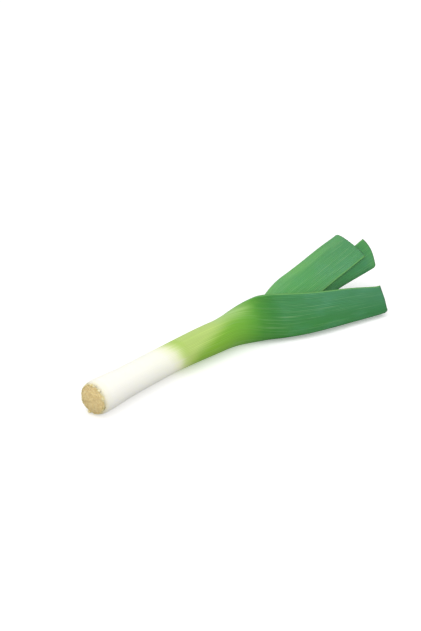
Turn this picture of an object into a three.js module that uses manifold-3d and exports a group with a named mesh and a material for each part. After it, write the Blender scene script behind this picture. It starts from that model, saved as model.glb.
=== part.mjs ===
// A trimmed leek lying on its side, in millimetres, +Z up. The root end points to -X and the cut leaf
// ends to +X. The shaft is the rolled sheaths of the leaves, one inside the other, and each sheath
// runs on into a blade folded along its keel. The leaves stand in two ranks, right (-Y) and left (+Y).

import * as THREE from 'three';
import { mergeVertices } from 'three/addons/utils/BufferGeometryUtils.js';
import Module from 'manifold-3d';

const { clamp, degToRad, lerp, smoothstep } = THREE.MathUtils;

// Shaft. Stations are lengths along the leek from the cut face of its root plate.
const SHAFT_RADIUS = 17.1;
const AXIS_HEIGHT = 18.5;
const BASE_SWELL = { station: 10, length: 26, share: 0.1 };
const NECK_SWELL = { from: 110, to: 205, share: 0.12 };
const REST_STATION = 195;

// Root plate, with the stubs of its trimmed roots.
const PLATE = { radius: 18.4, rim: 17.2, depth: 6, dome: 1.6, chamfer: 1.2, shoulder: 1.4, sides: 28 };
const STUBS = {
  count: 54, radius: 0.85, taper: 0.7, height: 1.3, sunk: 2.2, inset: 2, jitter: 0.9, lean: 0.3,
  sides: 5,
};
const GOLDEN_ANGLE = degToRad(137.508);

// Sheaths. Each layer lies one pitch inside the last, with clear space between its wall and the next.
const SHEATH_START = 6.3;
const SHEATH_WALL = 2.1;
const LAYER_PITCH = 2.45;
const MARGIN_WALL = 0.8;
const COLUMNS = 20;
const SHAFT_ROWS = [14, 26, 45, 75, 120, 160, 182];
const NECK_STATION = 205;
const FAN_ROWS = { bendStep: 14, bendEnd: 317, bladeStep: 24 };
const OUTER_ROWS = { bendStep: 7.5, bendEnd: 280, bladeStep: 18 };

// Turns along the leek: an angle that is taken up between two stations. Headings turn left.
const FAN_TILT = degToRad(27);
const SHAFT_TURN = { from: 60, to: 230, angle: degToRad(-6.5) };
const FAN_TURNS = [
  { from: 236, to: 258, angle: degToRad(-25) },
  { from: 266, to: 312, angle: degToRad(31) },
];
const FAN_LIFT = { from: 256, to: 310, angle: degToRad(9.3) };
const FAN_TWIST = { from: 215, to: 300, angle: degToRad(8) };
const OUTER_TURNS = [
  { from: 212, to: 250, angle: degToRad(-30) },
  { from: 265, to: 370, angle: degToRad(17) },
];
const OUTER_DROP = { from: 205, to: 225, angle: degToRad(-4) };
const OUTER_LEVEL = { from: 270, to: 300, angle: degToRad(4) };

// Where the round sheaths of the fan flatten into folded blades, where the blades widen towards
// their ends, and the slow waves of the blades.
const FLATTENING = { from: 218, to: 356 };
const WIDENING = { from: 395, to: 530 };
const FAN_WAVE = { height: 0.8, length: 120, slant: 0.06, from: 270, to: 340 };
const OUTER_WAVE = { height: 0.5, length: 130, slant: 0.06, from: 280, to: 340 };

// Leaves, from the outside in. The mouth is the station where a sheath opens into its blade, margin
// is the half-angle that the blade still wraps at its cut end, and flare is how far the margins stand
// out past the keel there, along a parabola or a bulge. Spread and press are the blade's width and
// thickness against its round sheath, and widening is what its far end adds to the spread. The
// outermost blade has sizes of its own instead.
const RIGHT = 1;
const LEFT = -1;
const OUTER_LEAF = {
  name: 'leaf_1', side: RIGHT, mouth: 207, end: 448, flare: 8, margin: 76, fold: 0.45, keelWall: 1.8,
  depth: { near: 52, far: 34.4 }, width: { near: 24.5, far: 15 }, narrowing: 265, colour: 0x4b8f5d,
};
// Where a sheath takes up each size of its blade, in stations past its mouth.
const OUTER_OPENING = {
  margin: { from: 0, to: 62 }, depth: { from: -4, to: 74 }, width: { from: -8, to: 54 },
  fold: { from: 40, to: 100 }, swell: { from: 0, to: 72 },
};
const FAN_OPENING = { from: 0, to: 75 };
const WALL_THINNING = { from: -20, to: 60 };
const NARROWING_POWER = 1.7;
const FAN_LEAVES = [
  {
    name: 'leaf_2', side: LEFT, mouth: 230, end: 497, flare: -5, margin: 110, fold: 0.3, keelWall: 1.6,
    spread: 2.3, press: 0.55, colour: 0x5fa26d,
  },
  {
    name: 'leaf_3', side: RIGHT, mouth: 245, end: 500.5, flare: 17.5, bulged: true, margin: 104,
    fold: 0.3, keelWall: 1.5, spread: 1.68, widening: 0.77, press: 0.55, colour: 0x6fb062,
  },
  {
    name: 'leaf_4', side: LEFT, mouth: 259, end: 494, flare: 6, margin: 122, fold: 0.3, keelWall: 1.4,
    spread: 1.9, press: 0.55, colour: 0x86bb5e,
  },
  {
    name: 'leaf_5', side: RIGHT, mouth: 273, end: 486, flare: 5, margin: 122, fold: 0.3, keelWall: 1.3,
    spread: 1.9, press: 0.55, colour: 0x9cc65f,
  },
];
const HEART = {
  name: 'heart', side: RIGHT, end: 480, fold: 0.3, spread: 1.9, press: 0.55, colour: 0xb7d070,
};
const PLATE_COLOUR = 0xd3be8b;
const LEAF_ROUGHNESS = 0.45;
const PLATE_ROUGHNESS = 0.9;

const taken = (turn, s) => turn.angle * smoothstep(s, turn.from, turn.to);
const sum = (turns, s) => turns.reduce((total, turn) => total + taken(turn, s), 0);
const opened = (leaf, s, span) => smoothstep(s, leaf.mouth + span.from, leaf.mouth + span.to);

// Courses: the direction of the fan's middle and of the outermost leaf's keel.
const fanCourse = {
  heading: (s) => taken(SHAFT_TURN, s) + sum(FAN_TURNS, s),
  pitch: (s) => taken(FAN_LIFT, s),
  tilt: (s) => FAN_TILT + taken(FAN_TWIST, s),
};
const outerCourse = {
  heading: (s) => taken(SHAFT_TURN, s) + sum(OUTER_TURNS, s),
  pitch: (s) => taken(OUTER_DROP, s) + taken(OUTER_LEVEL, s),
  tilt: () => FAN_TILT,
};

// Unit vectors at a station: along the leaf, towards the keel of its rank, and across its fold.
function axesAt(course, s, side) {
  const heading = course.heading(s);
  const pitch = course.pitch(s);
  const tilt = course.tilt(s);
  const level = new THREE.Vector3(Math.cos(heading), Math.sin(heading), 0);
  const along = level.multiplyScalar(Math.cos(pitch)).add(new THREE.Vector3(0, 0, Math.sin(pitch)));
  const right = new THREE.Vector3().crossVectors(along, new THREE.Vector3(0, 0, 1)).normalize();
  const up = new THREE.Vector3().crossVectors(right, along);
  const keel = right.clone().multiplyScalar(Math.cos(tilt)).addScaledVector(up, -Math.sin(tilt));
  const across = right.clone().multiplyScalar(Math.sin(tilt)).addScaledVector(up, Math.cos(tilt));
  return { along, keel: keel.multiplyScalar(side), across: across.multiplyScalar(side) };
}

// The line that a course follows from the start of the sheaths, as a function of the station.
function lineOf(course, start, length) {
  const points = [start];
  for (let i = 0; i < length; i += 1) {
    const { along } = axesAt(course, SHEATH_START + i + 0.5, RIGHT);
    points.push(points[i].clone().add(along));
  }
  return (s) => {
    const travel = s - SHEATH_START;
    const i = Math.min(points.length - 2, Math.floor(travel));
    return points[i].clone().lerp(points[i + 1], travel - i);
  };
}

const LINE_LENGTH = 520;
const shaftStart = new THREE.Vector3(SHEATH_START, 0, AXIS_HEIGHT);
const fanLine = lineOf(fanCourse, shaftStart, LINE_LENGTH);
const keelStart = shaftStart.clone().addScaledVector(axesAt(outerCourse, 0, RIGHT).keel, SHAFT_RADIUS);
const keelLine = lineOf(outerCourse, keelStart, LINE_LENGTH);

// Girth of the shaft against its nominal radius.
function girth(s) {
  const base = BASE_SWELL.share * Math.exp(-(((s - BASE_SWELL.station) / BASE_SWELL.length) ** 2));
  return 1 + base + NECK_SWELL.share * smoothstep(s, NECK_SWELL.from, NECK_SWELL.to);
}

function waveHeight(wave, s, reach) {
  const phase = (2 * Math.PI * s) / wave.length + wave.slant * reach;
  return wave.height * smoothstep(s, wave.from, wave.to) * Math.sin(phase);
}

// Cross-sections. Half-width a runs towards the keel and b across, fold sharpens the keel, and the
// leaf reaches margin radians to each side of its keel. All blades of the fan share one shape and
// one wave, so each stays clear of the next.
function fanSection(leaf, s) {
  const flat = smoothstep(s, FLATTENING.from, FLATTENING.to);
  const radius = leaf.radius * girth(s);
  const opening = leaf.mouth ? opened(leaf, s, FAN_OPENING) : 0;
  const widened = (leaf.widening ?? 0) * smoothstep(s, WIDENING.from, WIDENING.to);
  return {
    a: radius * lerp(1, leaf.spread + widened, flat),
    b: radius * lerp(1, leaf.press, flat),
    fold: leaf.fold * flat,
    margin: lerp(Math.PI, degToRad(leaf.margin ?? 180), opening),
    centre: fanLine(s),
    axes: axesAt(fanCourse, s, leaf.side),
    wave: (reach) => leaf.side * waveHeight(FAN_WAVE, s, leaf.side * reach),
  };
}

// The outermost blade is wider than the fan and turns away from it, so it hangs on its keel line.
function outerSection(leaf, s) {
  const radius = leaf.radius * girth(s);
  const share = (span) => opened(leaf, s, span);
  const narrowed = clamp((s - leaf.narrowing) / (leaf.end - leaf.narrowing), 0, 1);
  const margin = lerp(Math.PI, degToRad(leaf.margin), share(OUTER_OPENING.margin));
  const bladeDepth = lerp(leaf.depth.near, leaf.depth.far, narrowed ** NARROWING_POWER);
  const depth = lerp(2 * radius, bladeDepth, share(OUTER_OPENING.depth));
  const bladeWidth = lerp(leaf.width.near, leaf.width.far, smoothstep(narrowed, 0, 1));
  const a = depth / (1 - Math.cos(margin));
  const axes = axesAt(outerCourse, s, leaf.side);
  const swell = (radius - leaf.radius) * (1 - share(OUTER_OPENING.swell));
  return {
    a,
    b: lerp(radius, bladeWidth, share(OUTER_OPENING.width)),
    fold: leaf.fold * share(OUTER_OPENING.fold),
    margin,
    centre: keelLine(s).addScaledVector(axes.keel, swell - a),
    axes,
    wave: (reach) => waveHeight(OUTER_WAVE, s, reach),
  };
}

// A point of a section, turned from the keel, moved in by inset and never below its floor.
function sectionPoint(section, turn, inset, floor) {
  const { a, b, fold, centre, axes, wave } = section;
  const reach = (a - inset) * Math.cos(turn);
  const rise = (b - inset) * Math.sin(turn) * (1 - fold * Math.cos(turn) ** 2) + wave(reach);
  const point = centre.clone().addScaledVector(axes.keel, reach).addScaledVector(axes.across, rise);
  point.z = Math.max(point.z, floor);
  return point;
}

function wallAt(leaf, s, w) {
  return lerp(SHEATH_WALL, lerp(leaf.keelWall, MARGIN_WALL, w * w), opened(leaf, s, WALL_THINNING));
}

// How far the cut end stands out past the keel, at a place across the leaf from -1 to 1.
function cutAt(leaf, w) {
  return leaf.flare * (leaf.bulged ? smoothstep(Math.abs(w), 0, 1) : w * w);
}

// Stations of the rows: sparse along the straight shaft, close in the bends, sparse along the blades.
function stationsOf(leaf, rows) {
  const stations = [SHEATH_START, ...SHAFT_ROWS];
  for (let s = NECK_STATION; s < rows.bendEnd; s += rows.bendStep) stations.push(s);
  for (let s = rows.bendEnd; s < leaf.end - rows.bladeStep / 3; s += rows.bladeStep) stations.push(s);
  stations.push(leaf.end);
  if (leaf.mouth) stations.push(leaf.mouth);
  return [...new Set(stations)].sort((p, q) => p - q);
}

function geometryOf(corners) {
  const values = corners.flatMap((p) => [p.x, p.y, p.z]);
  const geometry = new THREE.BufferGeometry();
  geometry.setAttribute('position', new THREE.Float32BufferAttribute(values, 3));
  return mergeVertices(geometry, 1e-3);
}

// A leaf with a wall: a closed tube up to its mouth, and an open folded blade beyond it. Both faces
// are split into triangles along the same diagonals.
function leafGeometry(leaf, sectionAt, stations) {
  const floor = leaf.layer * LAYER_PITCH;
  const rows = stations.map((s) => {
    const outer = [];
    const inner = [];
    for (let j = 0; j <= COLUMNS; j += 1) {
      const w = (2 * j) / COLUMNS - 1;
      const station = s === leaf.end ? s + cutAt(leaf, w) : s;
      const section = sectionAt(leaf, station);
      const wall = wallAt(leaf, s, w);
      outer.push(sectionPoint(section, w * section.margin, 0, floor));
      inner.push(sectionPoint(section, w * section.margin, wall, floor + wall));
    }
    return { outer, inner };
  });
  const corners = [];
  const quad = (p, q, r, t) => corners.push(p, q, r, p, r, t);
  const backQuad = (p, q, r, t) => corners.push(p, r, q, p, t, r);
  for (let i = 0; i + 1 < rows.length; i += 1) {
    const near = rows[i];
    const far = rows[i + 1];
    for (let j = 0; j < COLUMNS; j += 1) {
      quad(near.outer[j], far.outer[j], far.outer[j + 1], near.outer[j + 1]);
      backQuad(near.inner[j], far.inner[j], far.inner[j + 1], near.inner[j + 1]);
    }
    if (stations[i] >= leaf.mouth) {
      quad(near.outer[0], near.inner[0], far.inner[0], far.outer[0]);
      backQuad(near.outer[COLUMNS], near.inner[COLUMNS], far.inner[COLUMNS], far.outer[COLUMNS]);
    }
  }
  const first = rows[0];
  const last = rows[rows.length - 1];
  for (let j = 0; j < COLUMNS; j += 1) {
    quad(first.outer[j], first.outer[j + 1], first.inner[j + 1], first.inner[j]);
    backQuad(last.outer[j], last.outer[j + 1], last.inner[j + 1], last.inner[j]);
  }
  return geometryOf(corners);
}

// The innermost leaves are one tight spindle, solid to its middle.
function heartGeometry(leaf, stations) {
  const rows = stations.map((s) => {
    const section = fanSection(leaf, s);
    const turns = Array.from({ length: COLUMNS + 1 }, (_, j) => ((2 * j) / COLUMNS - 1) * Math.PI);
    return turns.map((turn) => sectionPoint(section, turn, 0, 0));
  });
  const corners = [];
  const startCentre = fanLine(stations[0]);
  const last = rows[rows.length - 1];
  const endCentre = last[0].clone().lerp(last[COLUMNS / 2], 0.5);
  for (let j = 0; j < COLUMNS; j += 1) {
    for (let i = 0; i + 1 < rows.length; i += 1) {
      corners.push(rows[i][j], rows[i + 1][j], rows[i + 1][j + 1]);
      corners.push(rows[i][j], rows[i + 1][j + 1], rows[i][j + 1]);
    }
    corners.push(startCentre, rows[0][j], rows[0][j + 1]);
    corners.push(endCentre, last[j + 1], last[j]);
  }
  return geometryOf(corners);
}

const wasm = await Module();
wasm.setup();

function solidOf(source) {
  const geometry = source.clone();
  geometry.deleteAttribute('normal');
  geometry.deleteAttribute('uv');
  const merged = mergeVertices(geometry, 1e-3);
  return new wasm.Manifold(new wasm.Mesh({
    numProp: 3,
    vertProperties: new Float32Array(merged.attributes.position.array),
    triVerts: new Uint32Array(merged.index.array),
  }));
}

// A repeatable sequence of numbers from 0 to 1.
function seededRandom(seed) {
  let state = seed;
  return () => {
    state = (state * 1664525 + 1013904223) % 4294967296;
    return state / 4294967296;
  };
}

// The plate is turned about its own axis, domed outwards, and stands on the shaft's axis. The root
// stubs follow a sunflower spiral with some jitter, and each is sunk well into the plate.
function plateGeometry() {
  const { radius, rim, depth, dome, chamfer, shoulder, sides } = PLATE;
  const { count, taper, sunk, inset, jitter, lean } = STUBS;
  const domeHeight = (r) => dome * (1 - (r / rim) ** 2);
  const profile = [
    [0, -depth], [radius - chamfer / 3, -depth], [radius, -depth + chamfer],
    [radius - chamfer / 6, -shoulder], [rim, 0],
    [0.66 * rim, domeHeight(0.66 * rim)], [0.33 * rim, domeHeight(0.33 * rim)], [0, dome],
  ];
  const outline = profile.map(([r, y]) => new THREE.Vector2(r, y));
  const random = seededRandom(7);
  let plate = solidOf(new THREE.LatheGeometry(outline, sides));
  for (let i = 0; i < count; i += 1) {
    const spiral = (rim - inset) * Math.sqrt((i + 0.5) / count);
    const x = spiral * Math.cos(i * GOLDEN_ANGLE) + jitter * (2 * random() - 1);
    const z = spiral * Math.sin(i * GOLDEN_ANGLE) + jitter * (2 * random() - 1);
    const foot = STUBS.radius * (0.7 + 0.6 * random());
    const height = sunk + STUBS.height * (0.5 + random());
    const stub = new THREE.CylinderGeometry(taper * foot, foot, height, STUBS.sides);
    stub.rotateX(lean * (random() - 0.5)).rotateZ(lean * (random() - 0.5)).rotateY(6 * random());
    stub.translate(x, domeHeight(Math.hypot(x, z)) - sunk + height / 2, z);
    plate = plate.add(solidOf(stub));
  }
  const mesh = plate.getMesh();
  const geometry = new THREE.BufferGeometry();
  geometry.setAttribute('position', new THREE.Float32BufferAttribute(mesh.vertProperties, 3));
  geometry.setIndex([...mesh.triVerts]);
  return geometry;
}

function meshOf(name, geometry, colour, roughness) {
  const material = new THREE.MeshStandardMaterial({ color: colour, roughness, metalness: 0 });
  const mesh = new THREE.Mesh(geometry, material);
  mesh.name = name;
  return mesh;
}

// The leek stands in its own frame with the flat under its neck at the origin.
const leek = new THREE.Group();
const rest = fanLine(REST_STATION);
leek.position.set(-rest.x, -rest.y, 0);

const plate = meshOf('root_plate', plateGeometry(), PLATE_COLOUR, PLATE_ROUGHNESS);
plate.rotation.z = Math.PI / 2;
plate.position.z = AXIS_HEIGHT;
leek.add(plate);

const outerLeaf = { ...OUTER_LEAF, layer: 0, radius: SHAFT_RADIUS };
const outerBlade = leafGeometry(outerLeaf, outerSection, stationsOf(outerLeaf, OUTER_ROWS));
leek.add(meshOf(outerLeaf.name, outerBlade, outerLeaf.colour, LEAF_ROUGHNESS));

FAN_LEAVES.forEach((sizes, i) => {
  const leaf = { ...sizes, layer: i + 1, radius: SHAFT_RADIUS - (i + 1) * LAYER_PITCH };
  const geometry = leafGeometry(leaf, fanSection, stationsOf(leaf, FAN_ROWS));
  leek.add(meshOf(leaf.name, geometry, leaf.colour, LEAF_ROUGHNESS));
});

const heartLayer = FAN_LEAVES.length + 1;
const heart = { ...HEART, radius: SHAFT_RADIUS - heartLayer * LAYER_PITCH };
const spindle = heartGeometry(heart, stationsOf(heart, FAN_ROWS));
leek.add(meshOf(heart.name, spindle, heart.colour, LEAF_ROUGHNESS));

export default leek;
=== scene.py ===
"""A trimmed leek lying on its side: its root base, five leaves one inside the other, and its heart.

Stations are lengths along the leek from the cut face of its root base. Shapes are worked out in
millimetres in the stem's own frame, and placed in the frame of the model, in metres, at the end.
"""

import logging
import math
import random
from collections.abc import Callable, Iterable, Sequence
from dataclasses import dataclass
from enum import Enum
from functools import reduce

import bmesh
import bpy
from mathutils import Euler, Matrix, Vector, noise


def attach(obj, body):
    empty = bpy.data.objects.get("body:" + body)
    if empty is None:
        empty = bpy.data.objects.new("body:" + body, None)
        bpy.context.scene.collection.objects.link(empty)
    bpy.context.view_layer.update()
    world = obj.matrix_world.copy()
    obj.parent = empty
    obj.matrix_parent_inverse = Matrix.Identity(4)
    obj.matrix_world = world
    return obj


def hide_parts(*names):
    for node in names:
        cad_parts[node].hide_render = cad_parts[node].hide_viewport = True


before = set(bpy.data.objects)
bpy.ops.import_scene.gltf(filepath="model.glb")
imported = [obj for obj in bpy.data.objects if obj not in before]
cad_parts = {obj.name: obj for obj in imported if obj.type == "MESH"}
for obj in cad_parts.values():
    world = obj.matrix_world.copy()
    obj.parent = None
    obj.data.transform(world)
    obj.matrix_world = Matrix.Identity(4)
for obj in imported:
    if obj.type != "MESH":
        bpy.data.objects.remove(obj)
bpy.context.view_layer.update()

BODY = "root"

MM = 0.001
SHAFT_RADIUS = 17.1
AXIS_HEIGHT = 18.5
SHEATH_START = 6.3
SHEATH_WALL = 2.1
LAYER_PITCH = 2.45
REST_STATION = 195.0
LINE_LENGTH = 520
MAP_NAME = "leaf_map"
MAP_LENGTH = 520.0
MERGE_DISTANCE = 1e-4
GOLDEN_ANGLE = math.radians(137.508)

Socket = bpy.types.NodeSocket
Fed = Socket | float | tuple[float, ...]
Colour = tuple[int, int, int]
Stops = tuple[tuple[float, Colour], ...]

log = logging.getLogger("leek")


def lerp(low: float, high: float, share: float) -> float:
    """Returns the value at a share of the way from low to high."""
    return low + (high - low) * share


def smooth(value: float, start: float, end: float) -> float:
    """Returns 0 before start, 1 after end, and a smooth step between them."""
    share = min(1.0, max(0.0, (value - start) / (end - start)))
    return share * share * (3.0 - 2.0 * share)


@dataclass(frozen=True)
class Span:
    """A stretch of one measure, over which something is smoothly taken up."""

    start: float
    end: float

    def share(self, value: float) -> float:
        """Returns the share that is taken up at a value."""
        return smooth(value, self.start, self.end)


def linear(colour: Sequence[int]) -> tuple[float, float, float, float]:
    """Turns a screen colour into the one that a shader reads.

    Args:
        colour: Red, green and blue from 0 to 255.

    Returns:
        The colour in linear light, with full alpha.
    """
    def light(value: int) -> float:
        """Returns one channel in linear light."""
        share = value / 255
        return share / 12.92 if share <= 0.04045 else ((share + 0.055) / 1.055) ** 2.4

    red, green, blue = (light(value) for value in colour)
    return (red, green, blue, 1.0)


class Side(Enum):
    """The two ranks that a leek's leaves stand in."""

    RIGHT = 1
    LEFT = -1


@dataclass(frozen=True)
class Turn:
    """An angle that is taken up smoothly between two stations."""

    start: float
    end: float
    degrees: float

    def at(self, station: float) -> float:
        """Returns the part of the angle that is taken by a station, in radians."""
        return math.radians(self.degrees) * smooth(station, self.start, self.end)


@dataclass(frozen=True)
class Wave:
    """The slow wave of a blade: its height, its length, and how it slants across."""

    height: float
    length: float
    slant: float
    start: float
    end: float

    def at(self, station: float, reach: float) -> float:
        """Returns how far the blade stands out at a station, reach away from its middle."""
        phase = 2 * math.pi * station / self.length + self.slant * reach
        return self.height * smooth(station, self.start, self.end) * math.sin(phase)


SHAFT_TURN = Turn(60, 230, -6.5)
FLATTENING = Span(218, 356)
WIDENING = Span(395, 530)
WALL_THINNING = Span(-20, 60)
FAN_OPENING = Span(0, 75)
FAN_WAVE = Wave(0.8, 120, 0.06, 270, 340)
OUTER_WAVE = Wave(0.5, 130, 0.06, 280, 340)
BASE_SWELL = 0.1
BASE_STATION = 10
BASE_LENGTH = 26
NECK_SWELL = 0.12
NECK = Span(110, 205)


@dataclass(frozen=True)
class Axes:
    """Unit vectors at a station: along the leaf, towards its keel, and across its fold."""

    along: Vector
    keel: Vector
    across: Vector


@dataclass(frozen=True)
class Course:
    """The way that a bundle of leaves takes: its turns, its rises, and how far its fold is tilted."""

    headings: tuple[Turn, ...]
    pitches: tuple[Turn, ...]
    tilt: float
    twists: tuple[Turn, ...] = ()

    def axes(self, station: float, side: Side) -> Axes:
        """Works out the directions at a station.

        Args:
            station: The length along the leek.
            side: The rank whose keel and fold are asked for.

        Returns:
            The three unit vectors there.
        """
        heading = sum(turn.at(station) for turn in self.headings)
        pitch = sum(turn.at(station) for turn in self.pitches)
        tilt = math.radians(self.tilt) + sum(turn.at(station) for turn in self.twists)
        level = Vector((math.cos(heading), math.sin(heading), 0.0))
        along = level * math.cos(pitch) + Vector((0.0, 0.0, math.sin(pitch)))
        right = along.cross(Vector((0.0, 0.0, 1.0))).normalized()
        up = right.cross(along)
        keel = right * math.cos(tilt) - up * math.sin(tilt)
        across = right * math.sin(tilt) + up * math.cos(tilt)
        return Axes(along, keel * side.value, across * side.value)


class Line:
    """The line that a course follows from the start of the sheaths."""

    def __init__(self, course: Course, start: Vector) -> None:
        """Walks the course in steps of a millimetre.

        Args:
            course: The way that the line takes.
            start: Its first point, in the stem's frame.
        """
        self.points = [start.copy()]
        for step in range(LINE_LENGTH):
            along = course.axes(SHEATH_START + step + 0.5, Side.RIGHT).along
            self.points.append(self.points[-1] + along)

    def at(self, station: float) -> Vector:
        """Finds the line's point at a station.

        Args:
            station: The length along the leek.

        Returns:
            The point in the stem's frame.
        """
        travel = station - SHEATH_START
        step = min(len(self.points) - 2, max(0, math.floor(travel)))
        return self.points[step].lerp(self.points[step + 1], travel - step)


FAN_COURSE = Course(
    headings=(SHAFT_TURN, Turn(236, 258, -25), Turn(266, 312, 31)),
    pitches=(Turn(256, 310, 9.3),),
    tilt=27,
    twists=(Turn(215, 300, 8),),
)
OUTER_COURSE = Course(
    headings=(SHAFT_TURN, Turn(212, 250, -30), Turn(265, 370, 17)),
    pitches=(Turn(205, 225, -4), Turn(270, 300, 4)),
    tilt=27,
)
SHAFT_START = Vector((SHEATH_START, 0.0, AXIS_HEIGHT))
FAN_LINE = Line(FAN_COURSE, SHAFT_START)
KEEL_LINE = Line(OUTER_COURSE, SHAFT_START + OUTER_COURSE.axes(0, Side.RIGHT).keel * SHAFT_RADIUS)
REST_POINT = FAN_LINE.at(REST_STATION).xy.to_3d()


def girth(station: float) -> float:
    """Returns the shaft's radius at a station as a share of its nominal one."""
    past = (station - BASE_STATION) / BASE_LENGTH
    return 1 + BASE_SWELL * math.exp(-past * past) + NECK_SWELL * NECK.share(station)


def placed(point: Vector) -> Vector:
    """Returns a point of the stem's frame, in millimetres, in the model's frame, in metres."""
    return (point - REST_POINT) * MM


@dataclass(frozen=True)
class Section:
    """A leaf's cross-section: an oval whose keel side is sharpened by a fold."""

    keel_reach: float
    half_width: float
    fold: float
    margin: float
    centre: Vector
    axes: Axes
    wave: Callable[[float], float]

    def point(self, turn: float, inset: float, floor: float) -> Vector:
        """Works out a point of the section.

        Args:
            turn: The angle from the keel, in radians.
            inset: How far the point is moved in.
            floor: The lowest height that it may have.

        Returns:
            The point in the stem's frame.
        """
        reach = (self.keel_reach - inset) * math.cos(turn)
        sharpening = 1 - self.fold * math.cos(turn) ** 2
        rise = (self.half_width - inset) * math.sin(turn) * sharpening + self.wave(reach)
        point = self.centre + self.axes.keel * reach + self.axes.across * rise
        point.z = max(point.z, floor)
        return point


@dataclass(frozen=True)
class Grain:
    """A noise over a leaf's map: how fine it is across and along, and how rich."""

    across: float
    along: float
    offset: float = 0.0
    detail: float = 2.0
    roughness: float = 0.5


@dataclass(frozen=True)
class LeafMap:
    """A leaf's own coordinates in a material, and the streaks that run along it."""

    spot: Socket
    across: Socket
    station: Socket
    streaks: Socket


class Sheet:
    """The node tree of one material, with a short call for each kind of node that it uses."""

    def __init__(self, name: str) -> None:
        """Starts a material with its principled surface.

        Args:
            name: The material's name.
        """
        self.material = bpy.data.materials.new(name)
        self.material.use_nodes = True
        self.nodes = self.material.node_tree.nodes
        self.links = self.material.node_tree.links
        self.surface = next(node for node in self.nodes if node.type == "BSDF_PRINCIPLED")

    def feed(self, socket: Socket, value: Fed) -> None:
        """Links a socket to another, or sets it to a plain value.

        Args:
            socket: The input that is fed.
            value: Another node's output, or a number, place or colour.
        """
        if isinstance(value, Socket):
            self.links.new(value, socket)
        else:
            socket.default_value = value

    def set(self, name: str, value: Fed) -> None:
        """Feeds one of the surface's own inputs."""
        self.feed(self.surface.inputs[name], value)

    def flesh_out(self, weight: float, radius: tuple[float, ...], scale: float) -> None:
        """Lets light into the surface, as into a leaf's flesh.

        Args:
            weight: The share of the light that goes in.
            radius: How far red, green and blue light go, against the scale.
            scale: The depth, in metres.
        """
        self.set("Subsurface Weight", weight)
        self.set("Subsurface Radius", radius)
        self.set("Subsurface Scale", scale)

    def math(self, operation: str, *values: Fed) -> Socket:
        """Works one sum out.

        Args:
            operation: The math node's operation.
            values: Up to three values.

        Returns:
            The result's socket.
        """
        node = self.nodes.new("ShaderNodeMath")
        node.operation = operation
        for socket, value in zip(node.inputs, values):
            self.feed(socket, value)
        return node.outputs[0]

    def product(self, *values: Fed) -> Socket:
        """Returns the product of two or more values."""
        return reduce(lambda low, high: self.math("MULTIPLY", low, high), values)

    def varied(self, value: Fed, middle: float, width: float) -> Socket:
        """Returns a range of some width about a middle, for a value from 0 to 1."""
        return self.math("MULTIPLY_ADD", value, width, middle - width / 2)

    def over(self, value: Fed, span: Span) -> Socket:
        """Takes something up over a span.

        Args:
            value: The measure that the span is of.
            span: The stretch. One that runs backwards fades instead.

        Returns:
            A socket that is 0 at the span's start and 1 at its end.
        """
        node = self.nodes.new("ShaderNodeMapRange")
        node.interpolation_type = "SMOOTHSTEP"
        for name, fed in (("Value", value), ("From Min", span.start), ("From Max", span.end)):
            self.feed(node.inputs[name], fed)
        return node.outputs["Result"]

    def blend(self, kind: str, share: Fed, low: Fed, high: Fed) -> Socket:
        """Blends two colours.

        Args:
            kind: The mix node's way of blending.
            share: How much of the blend shows.
            low: The first colour.
            high: The second colour.

        Returns:
            The colour's socket.
        """
        node = self.nodes.new("ShaderNodeMix")
        node.data_type = "RGBA"
        node.blend_type = kind
        for index, fed in ((0, share), (6, low), (7, high)):
            self.feed(node.inputs[index], fed)
        return node.outputs[2]

    def tinted(self, share: Fed, colour: Fed, tint: Colour) -> Socket:
        """Returns a colour that a share of a screen colour is mixed into."""
        return self.blend("MIX", share, colour, linear(tint))

    def grey(self, value: Fed) -> Socket:
        """Makes a grey.

        Args:
            value: How light it is.

        Returns:
            The colour's socket.
        """
        node = self.nodes.new("ShaderNodeCombineColor")
        for socket in node.inputs:
            self.feed(socket, value)
        return node.outputs[0]

    def ramp(self, station: Fed, stops: Stops) -> Socket:
        """Makes a colour that changes along a leaf.

        Args:
            station: The length along the leek.
            stops: Pairs of a station and its screen colour.

        Returns:
            The colour's socket.
        """
        node = self.nodes.new("ShaderNodeValToRGB")
        elements = node.color_ramp.elements
        while len(elements) < len(stops):
            elements.new(1.0)
        for element, (place, colour) in zip(elements, stops):
            element.position = place / MAP_LENGTH
            element.color = linear(colour)
        self.feed(node.inputs[0], self.math("DIVIDE", station, MAP_LENGTH))
        return node.outputs[0]

    def noise(self, place: Fed, scale: float, detail: float, roughness: float) -> Socket:
        """Makes a noise.

        Args:
            place: Where it is read.
            scale: How fine it is.
            detail: How many finer layers it has.
            roughness: How strong they are.

        Returns:
            The noise's socket, from 0 to 1.
        """
        node = self.nodes.new("ShaderNodeTexNoise")
        self.feed(node.inputs["Vector"], place)
        for name, value in (("Scale", scale), ("Detail", detail), ("Roughness", roughness)):
            node.inputs[name].default_value = value
        return node.outputs["Fac"]

    def grain(self, spot: Fed, grain: Grain) -> Socket:
        """Makes a noise over a leaf's map.

        Args:
            spot: The map's socket.
            grain: How fine and rich it is.

        Returns:
            The noise's socket, from 0 to 1.
        """
        node = self.nodes.new("ShaderNodeMapping")
        node.inputs["Location"].default_value = (grain.offset, grain.offset, grain.offset)
        node.inputs["Scale"].default_value = (grain.across, grain.along, 1.0)
        self.feed(node.inputs["Vector"], spot)
        return self.noise(node.outputs[0], 1.0, grain.detail, grain.roughness)

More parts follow.
